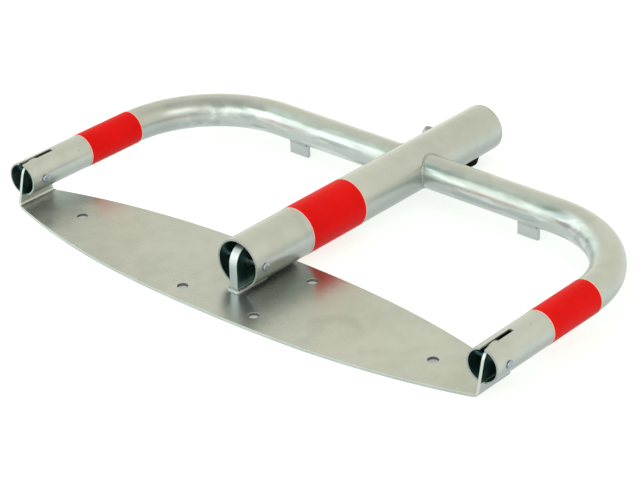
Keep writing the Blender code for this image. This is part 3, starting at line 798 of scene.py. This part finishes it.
def make_middle_tube():
    """Straight tube with openings for the lug, the knob's stem and the lock."""
    steps, length = 60, TUBE_HIGH.y - TUBE_FRONT
    along = [TUBE_FRONT + length * closer(i / steps) for i in range(steps + 1)]
    centres = [Vector((0, y, PIVOT_Z)) for y in along]
    made = tube_along("middle_tube", centres, 96, TUBE_R, WALL)
    slot_top = PIVOT_Z - 0.02
    slot_low = (-LUG_SLOT_HALF, TUBE_FRONT - BEYOND, -BEYOND)
    slot = block("slot", slot_low, (LUG_SLOT_HALF, LUG_SLOT_BACK, slot_top))
    knob = centre_of("pull_knob").y
    stem, outside, inside = 0.0046, -0.04, -0.02
    slot_low = (outside, knob - STROKE - stem, PIVOT_Z - stem)
    knob_slot = block("knob_slot", slot_low, (inside, knob + stem, PIVOT_Z + stem))
    housing_r = size_of("lock_housing").x / 2
    lock_hole = rod("lock_hole", housing_r + GAP, (-BEYOND, 2 * BEYOND), "Z", (0, LOCK_Y))
    combine(made, [slot, knob_slot, lock_hole])
    round_edges(made, 0.0004)
    place(made, "bar", "galvanised_steel", tube_zinc, "centre_tube")


def make_end_disc():
    """Disc that closes the middle tube's far end."""
    low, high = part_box("end_disc")
    thick, edge = high.y - low.y, 0.0011
    radius = TUBE_R - GAP
    profile = [(0, 0), (radius, 0), (radius, thick), (0, thick)]
    disc = lathe("tube_end", softened(profile, edge), "Y", (0, low.y, PIVOT_Z), 96)
    place(disc, "bar", "galvanised_steel", tube_zinc, "end_disc")


def make_band(label, x, tube_r):
    """Film wrapped once round the tube, with its end lapped over its start underneath."""
    low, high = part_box(f"{label}_band")
    film, under, over_start = 0.00025, 0.00003, 0.00004
    lap, rise = math.radians(14), math.radians(3)
    steps, rows_along = 110, 24
    bm = bmesh.new()
    rows = []
    for i in range(rows_along + 1):
        y = low.y + (high.y - low.y) * i / rows_along
        inner, outer = [], []
        for k in range(steps + 1):
            share = k / steps
            angle = -math.pi / 2 + (ROUND + lap) * share
            over = max(0.0, min(1.0, (share * (ROUND + lap) - ROUND + rise) / rise))
            radius = tube_r + under + over * (film + over_start)
            for row, r in ((inner, radius), (outer, radius + film)):
                point = (x + r * math.cos(angle), y, PIVOT_Z + r * math.sin(angle))
                row.append(bm.verts.new(point))
        rows.append(inner + outer[::-1])
    skin(bm, rows)
    bm.faces.new(rows[0])
    bm.faces.new(rows[-1])
    made = mesh_object(f"{label}_film", bm)
    place(made, "bar", "red_film", red_film(f"{label}_red_film", low.y, high.y), f"{label}_band")


def make_foot(side, label):
    """Flat tab under the rail, and the bead that joins them."""
    low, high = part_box(f"{label}_foot")
    made = block(f"{label}_foot_tab", low, (high.x, high.y, PIVOT_Z - 0.4 * HOOP_R))
    round_edges(made, 0.0007)
    place(made, "bar", "galvanised_steel", foot_zinc, f"{label}_foot")
    count, inset = 60, 0.0015
    half = (high.x - low.x) / 2 - inset
    top = PIVOT_Z - math.sqrt(HOOP_R**2 - (RAIL_Y - low.y) ** 2)
    middle = side * abs(centre_of(f"{label}_foot").x)
    path = [Vector((middle + half * (2 * i / count - 1), low.y, top)) for i in range(count + 1)]
    outs = [Vector((0, -1, -0.6))] * (count + 1)
    name = f"{label}_foot_bead"
    weld = bead(name, path, outs, radius=0.0024, pitch=0.003, closed=False, ripple=0.06)
    place(weld, "bar", "galvanised_steel", weld_zinc, f"{label}_foot_weld")


def make_pin(label, x, tube_r):
    """Domed pin with a centre mark in each end, and the washer under its riveted end."""
    low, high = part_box(f"{label}_pivot_pin")
    head_r, head_h = (high.y - low.y) / 2, high.x - x - tube_r
    dome = [(0, head_h - 0.0007), (0.0007, head_h - 0.0002)]
    angles = (0.35, 0.6, 0.85, 1.1, 1.35)
    dome += [(head_r * math.sin(a), head_h * (0.35 + 0.65 * math.cos(a))) for a in angles]
    dome += [(head_r, head_h * 0.3), (head_r, GAP), (PIN_R, GAP)]
    profile = [(r, tube_r + h) for r, h in dome]
    profile += [(r, low.x - x + head_h - h) for r, h in reversed(dome)]
    pin = lathe(f"{label}_pin", profile, "X", (x, 0, PIVOT_Z), 56)
    place(pin, "bar", "zinc_plated_steel", pin_zinc, f"{label}_pivot_pin")
    low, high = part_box(f"{label}_pin_washer")
    outer, thick = (high.y - low.y) / 2, high.x - low.x
    inner, edge = PIN_R + GAP, 0.0003
    ring = softened([(inner, 0), (outer, 0), (outer, thick), (inner, thick)], edge, 2, True)
    washer = lathe(f"{label}_washer", ring, "X", (low.x, 0, PIVOT_Z), 56, closed=True)
    place(washer, "bar", "zinc_plated_steel", pin_zinc, f"{label}_pin_washer")


# ---------------------------------------------------------------- lock cap and knob


def make_cap():
    """Rubber cap, hollow for the lock housing and hugging the tube above it."""
    low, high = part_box("lock_cap")
    foot_r, rim_r = 0.0160, (high.x - low.x) / 2
    lip = size_of("lock_housing").x / 2 + GAP
    inner_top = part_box("lock_housing")[0].z - GAP
    tall = high.z + 0.003
    outer = [(0, low.z), (foot_r, low.z), (rim_r, tall)]
    profile = softened(outer, 0.003, 8) + [(lip, tall), (lip, inner_top), (0, inner_top)]
    cap = lathe("rubber_cap", profile, "Z", (0, LOCK_Y, 0), 96)
    past_cap = (0.35, 0.46)  # along the tube, beyond the cap at both ends
    combine(cap, [rod("saddle", TUBE_R + GAP, past_cap, "Y", (0, PIVOT_Z), 96)])
    round_edges(cap, 0.0005)
    place(cap, "cap", "black_rubber", black_rubber, "lock_cap")


def make_knob():
    """Rounded head on a stem that goes through the slot in the tube's side."""
    low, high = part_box("pull_knob")
    radius, outer = (high.z - low.z) / 2, -low.x
    inner = TUBE_R + 0.0013
    stem = 0.004
    head = softened([(0, outer), (radius, outer), (radius, inner), (stem, inner)], 0.005, 8)
    where = (0, centre_of("pull_knob").y, PIVOT_Z)
    knob = lathe("pull_knob_fine", head + [(stem, -high.x), (0, -high.x)], "-X", where)
    place(knob, "rod", "zinc_plated_steel", knob_zinc, "pull_knob")


# ---------------------------------------------------------------- what the middle tube holds


def sizes_along(node, axis):
    """Middle, outer radius and half length of a round CAD node."""
    index = "XYZ".index(axis)
    size = size_of(node)
    return centre_of(node), size[(index + 1) % 3] / 2, size[index] / 2


def make_sleeve(name, node, axis, bore_r, edge, body, slot, look):
    """Ring with rounded edges round a bore."""
    middle, outer, half = sizes_along(node, axis)
    ring = softened([(bore_r, -half), (outer, -half), (outer, half), (bore_r, half)], edge, 3, True)
    place(lathe(name, ring, axis, middle, closed=True), body, slot, look, node)


def make_bar(name, node, axis, edge, body, slot, look):
    """Solid bar with rounded ends."""
    middle, radius, half = sizes_along(node, axis)
    profile = softened([(0, -half), (radius, -half), (radius, half), (0, half)], edge)
    place(lathe(name, profile, axis, middle, 64), body, slot, look, node)


def make_yoke():
    """Plate under the rod's tail, with a slot for the crank pin."""
    low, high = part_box("rod_yoke")
    play = 0.00235
    pin_y = LOCK_Y + STROKE / 2
    near, far = STROKE / 2 - play - GAP, STROKE / math.sqrt(2) + play + GAP
    yoke = block("yoke_plate", low, high)
    slot_low = (near, pin_y - play, low.z - BEYOND)
    combine(yoke, [block("crank_slot", slot_low, (far, pin_y + play, high.z + BEYOND))])
    round_edges(yoke, 0.0005)
    place(yoke, "rod", "zinc_plated_steel", upright_zinc, "rod_yoke")


def make_screw(name, node, head_t, head_up, body):
    """Screw along Z with a driver's slot across its head."""
    low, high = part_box(node)
    middle, head_r, half = sizes_along(node, "Z")
    shank_r, slot_half, slot_depth = 0.002, 0.0004, 0.0006
    under = half - head_t
    profile = [(0, -half), (shank_r, -half), (shank_r, under)]
    profile += [(head_r, under), (head_r, half), (0, half)]
    if not head_up:
        profile = [(r, -h) for r, h in reversed(profile)]
    made = lathe(name, softened(profile, 0.0003, 2), "Z", middle, 48)
    bottom, top = low.z - BEYOND, low.z + slot_depth
    if head_up:
        bottom, top = high.z - slot_depth, high.z + BEYOND
    slot_low = (middle.x - BEYOND, middle.y - slot_half, bottom)
    combine(made, [block("driver_slot", slot_low, (middle.x + BEYOND, middle.y + slot_half, top))])
    place(made, body, "zinc_plated_steel", upright_zinc, node)


def make_spring():
    """Compression spring with flat end turns, stretching between the rear guide and the collar."""
    low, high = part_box("rod_spring")
    wire_r, turns, steps = 0.0011, 8, 320
    coil_r = (high.x - low.x) / 2 - wire_r
    start, length = low.y + wire_r, high.y - low.y - 2 * wire_r
    closed = 2.1 * wire_r
    path, outs = [], []
    for i in range(steps + 1):
        turn = turns * i / steps
        open_share = max(0.0, min(1.0, (turn - 1) / (turns - 2)))
        ends = min(turn, 1) + max(0.0, turn - turns + 1)
        out = Vector((math.cos(ROUND * turn), 0, math.sin(ROUND * turn)))
        y = start + closed * ends + (length - 2 * closed) * open_share
        path.append(Vector((0, y, PIVOT_Z)) + out * coil_r)
        outs.append(out)

    def wire(_, angle):
        return wire_r * math.cos(angle), wire_r * math.sin(angle)

    made = sweep("coil_spring", path, outs, 12, False, wire)
    place(made, None, "spring_steel", spring_steel, "rod_spring")
    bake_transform(made)


def make_core():
    """Brass lock core with its keyway, under the cap."""
    middle, radius, half = sizes_along("lock_core", "Z")
    profile = softened([(0, -half), (radius, -half), (radius, half), (0, half)], 0.0006)
    core = lathe("core_brass", profile, "Z", middle, 64)
    low = middle.z - half
    keyway_x, keyway_y, depth = 0.0009, 0.004, 0.011
    key_low = (-keyway_x, LOCK_Y - keyway_y, low - BEYOND)
    combine(core, [block("keyway", key_low, (keyway_x, LOCK_Y + keyway_y, low + depth))])
    round_edges(core, 0.0002, 2)
    place(core, "core", "lock_brass", brass, "lock_core")


def make_cam():
    """Disc on the lock core, with a crank pin that pushes the yoke."""
    low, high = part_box("lock_cam")
    disc_t, hole_r, pin_r = 0.003, 0.0023, 0.002
    radius = LOCK_Y - low.y
    ring = softened([(hole_r, 0), (radius, 0), (radius, disc_t), (hole_r, disc_t)], 0.0005, 3, True)
    cam = lathe("cam_plate", ring, "Z", (0, LOCK_Y, low.z), closed=True)
    height = high.z - low.z
    pin = softened([(0, disc_t / 2), (pin_r, disc_t / 2), (pin_r, height), (0, height)], 0.0004)
    where = (STROKE / 2, LOCK_Y + STROKE / 2, low.z)
    combine(cam, [lathe("crank_pin", pin, "Z", where, 40)], "UNION")
    place(cam, "core", "zinc_plated_steel", upright_zinc, "lock_cam")


make_plate()
make_lug()
make_lug_weld()
for side, label in ((-1, "left"), (1, "right")):
    make_hoop_tube(side, label)
    make_hoop_weld(side, label)
    make_foot(side, label)
    make_band(label, side * LEG_X, HOOP_R)
    make_pin(label, side * LEG_X, HOOP_R)
make_middle_tube()
make_end_disc()
make_band("centre", 0, TUBE_R)
make_pin("centre", 0, TUBE_R)
make_cap()
make_knob()

ROD_BORE, CORE_BORE = 0.0063, 0.0066
make_sleeve("bush", "lug_bush", "X", PIN_R + GAP, 0.0004, "base", "bush_bronze", bronze)
for name, node in (("front_guide", "front_rod_guide"), ("rear_guide", "rear_rod_guide")):
    make_sleeve(name, node, "Y", ROD_BORE, 0.001, "bar", "galvanised_steel", foot_zinc)
make_sleeve("collar_ring", "rod_collar", "Y", ROD_BORE, 0.0008, "rod", "zinc_plated_steel", rod_zinc)
make_sleeve("housing_brass", "lock_housing", "Z", CORE_BORE, 0.0006, "bar", "lock_brass", brass)
make_bar("rod_bar", "locking_rod", "Y", 0.0012, "rod", "zinc_plated_steel", rod_zinc)
make_bar("cross_pin", "collar_pin", "X", 0.0004, "rod", "zinc_plated_steel", pin_zinc)
make_yoke()
make_screw("yoke_cap_screw", "yoke_screw", 0.0025, False, "rod")
make_screw("cam_cap_screw", "cam_screw", 0.001, True, "core")
make_spring()
make_core()
make_cam()

# ---------------------------------------------------------------- studio


def make_floor():
    """White paper that glows as painted light, so that shadows stay faint; a painted shadow lies
    under the plate, and the glow is painted dimmer towards the back right.
    """
    half, drop = 14, 0.0002
    bm = bmesh.new()
    corners = ((-half, -half, 0), (half, -half, 0), (half, half, 0), (-half, half, 0))
    bm.faces.new([bm.verts.new(corner) for corner in corners])
    floor = mesh_object("floor", bm, smooth=False)
    floor.location.z = -drop
    s = Shader("floor_paper")
    paper = s.mix(s.noise(3, 3), (0.27, 0.28, 0.29), (0.29, 0.30, 0.31))
    # painted shadow under the plate: less glow and darker paper there
    glow = s.span(s.spread(), 0.80, 0.97, 0.37, 1)
    colour = s.mix(glow, (0.10, 0.11, 0.11), paper)
    s.set(Base_Color=colour, Roughness=0.9, Specular_IOR_Level=0.1)
    # painted shade: the glow fades towards the back right
    across, along = s.math("MULTIPLY", s.axis("X"), 0.5), s.math("MULTIPLY", s.axis("Y"), 0.87)
    away = s.math("ADD", across, along)
    light = s.mix(s.span(away, -0.45, 0.2, 0, 1), (0.95, 1.01, 0.97), (0.74, 0.77, 0.74))
    s.set(Emission_Color=light, Emission_Strength=glow)
    floor.data.materials.append(s.material)


def make_world():
    """Studio with a dim ceiling, a warm wall behind the object, and pale soft boxes in front."""
    world = bpy.data.worlds.new("studio")
    bpy.context.scene.world = world
    world.use_nodes = True
    tree = world.node_tree

    def node(kind, **settings):
        made = tree.nodes.new(kind)
        for key, value in settings.items():
            setattr(made, key, value)
        return made

    def span(value, low, high, to_low, to_high):
        made = node("ShaderNodeMapRange", interpolation_type="SMOOTHSTEP")
        tree.links.new(value, made.inputs[0])
        for socket, given in zip(made.inputs[1:5], (low, high, to_low, to_high)):
            socket.default_value = given
        return made.outputs[0]

    def times(one, two):
        made = node("ShaderNodeMath", operation="MULTIPLY")
        for socket, value in zip(made.inputs, (one, two)):
            tree.links.new(value, socket)
        return made.outputs[0]

    def vector(operation, one, two=None):
        made = node("ShaderNodeVectorMath", operation=operation)
        tree.links.new(one, made.inputs[0])
        if two:
            made.inputs[1].default_value = two
        return made

    def mixed(share, one, two):
        made = node("ShaderNodeMix", data_type="RGBA")
        tree.links.new(share, made.inputs["Factor"])
        for socket, value in ((made.inputs[6], one), (made.inputs[7], two)):
            if isinstance(value, bpy.types.NodeSocket):
                tree.links.new(value, socket)
            else:
                socket.default_value = (*value, 1)
        return made.outputs[2]

    direction = node("ShaderNodeTexCoord").outputs["Generated"]
    split = node("ShaderNodeSeparateXYZ")
    tree.links.new(direction, split.inputs[0])
    height = split.outputs["Z"]
    level = vector("NORMALIZE", vector("MULTIPLY", direction, (1, 1, 0)).outputs[0]).outputs[0]

    def sine(degrees):
        return math.sin(math.radians(degrees))

    def box(colour, azimuth, half, soft, low, high, blur, shade):
        """Shades the surround near an azimuth and between two heights, all in degrees."""
        aim = (math.cos(math.radians(azimuth)), math.sin(math.radians(azimuth)), 0)
        near = vector("DOT_PRODUCT", level, aim).outputs["Value"]
        outer, inner = math.cos(math.radians(half + soft)), math.cos(math.radians(half - soft))
        beside = span(near, outer, inner, 0, 1)
        above = span(height, sine(low - blur), sine(low + blur), 0, 1)
        below = span(height, sine(high - blur), sine(high + blur), 1, 0)
        return mixed(times(beside, times(above, below)), colour, shade)

    colour = mixed(span(height, sine(45), sine(72), 0, 1), (1.02, 1.03, 0.92), (0.70, 0.69, 0.60))
    colour = box(colour, 80, 68, 22, -30, 60, 12, (1.12, 1.06, 0.89))
    colour = box(colour, 153, 12, 10, 14, 36, 8, (0.94, 0.90, 0.76))
    colour = box(colour, -140, 42, 14, 40, 54, 4, (0.20, 0.38, 0.27))
    colour = box(colour, -140, 42, 14, 5, 37, 6, (1.45, 1.60, 1.53))
    colour = box(colour, -174, 16, 10, 20, 48, 8, (1.99, 2.06, 1.91))
    colour = box(colour, 168, 14, 8, 0, 24, 6, (1.48, 1.62, 1.51))
    colour = box(colour, -93, 32, 16, 6, 42, 10, (2.30, 2.38, 2.18))
    colour = box(colour, -12, 16, 8, 26, 50, 7, (2.55, 2.5, 2.25))
    colour = box(colour, -28, 13, 8, -10, 10, 5, (0.69, 0.72, 0.65))
    colour = box(colour, 132, 14, 8, -10, 9, 6, (1.73, 1.64, 1.39))
    tree.links.new(colour, tree.nodes["Background"].inputs["Color"])


def make_light(name, where, aim, size, power, colour):
    """Soft area light that no reflection shows."""
    data = bpy.data.lights.new(name, "AREA")
    data.shape = "RECTANGLE"
    data.size, data.size_y = size
    data.energy = power
    data.color = colour
    light = bpy.data.objects.new(name, data)
    scene_objects.link(light)
    light.location = where
    light.rotation_euler = (Vector(aim) - Vector(where)).to_track_quat("-Z", "Y").to_euler()
    light.visible_camera = False
    light.visible_glossy = False


def make_camera():
    """Camera at the photo's viewing angle."""
    data = bpy.data.cameras.new("camera")
    data.lens = 134.07
    data.sensor_width = 36
    camera = bpy.data.objects.new("camera", data)
    scene_objects.link(camera)
    turns = ((41.647, "Z"), (90 - 28.084, "X"), (-1.613, "Z"))
    matrix = Matrix.Translation((1.65008, -1.72843, 1.33199))
    for degrees, axis in turns:
        matrix = matrix @ Matrix.Rotation(math.radians(degrees), 4, axis)
    camera.matrix_world = matrix
    bpy.context.scene.camera = camera


make_floor()
make_world()
make_light("overhead", (0.3, 0.5, 2.6), (0, 0.1, 0), (2.4, 2.0), 8, (1.0, 0.98, 0.94))
make_camera()
bpy.context.scene.view_settings.view_transform = "Standard"
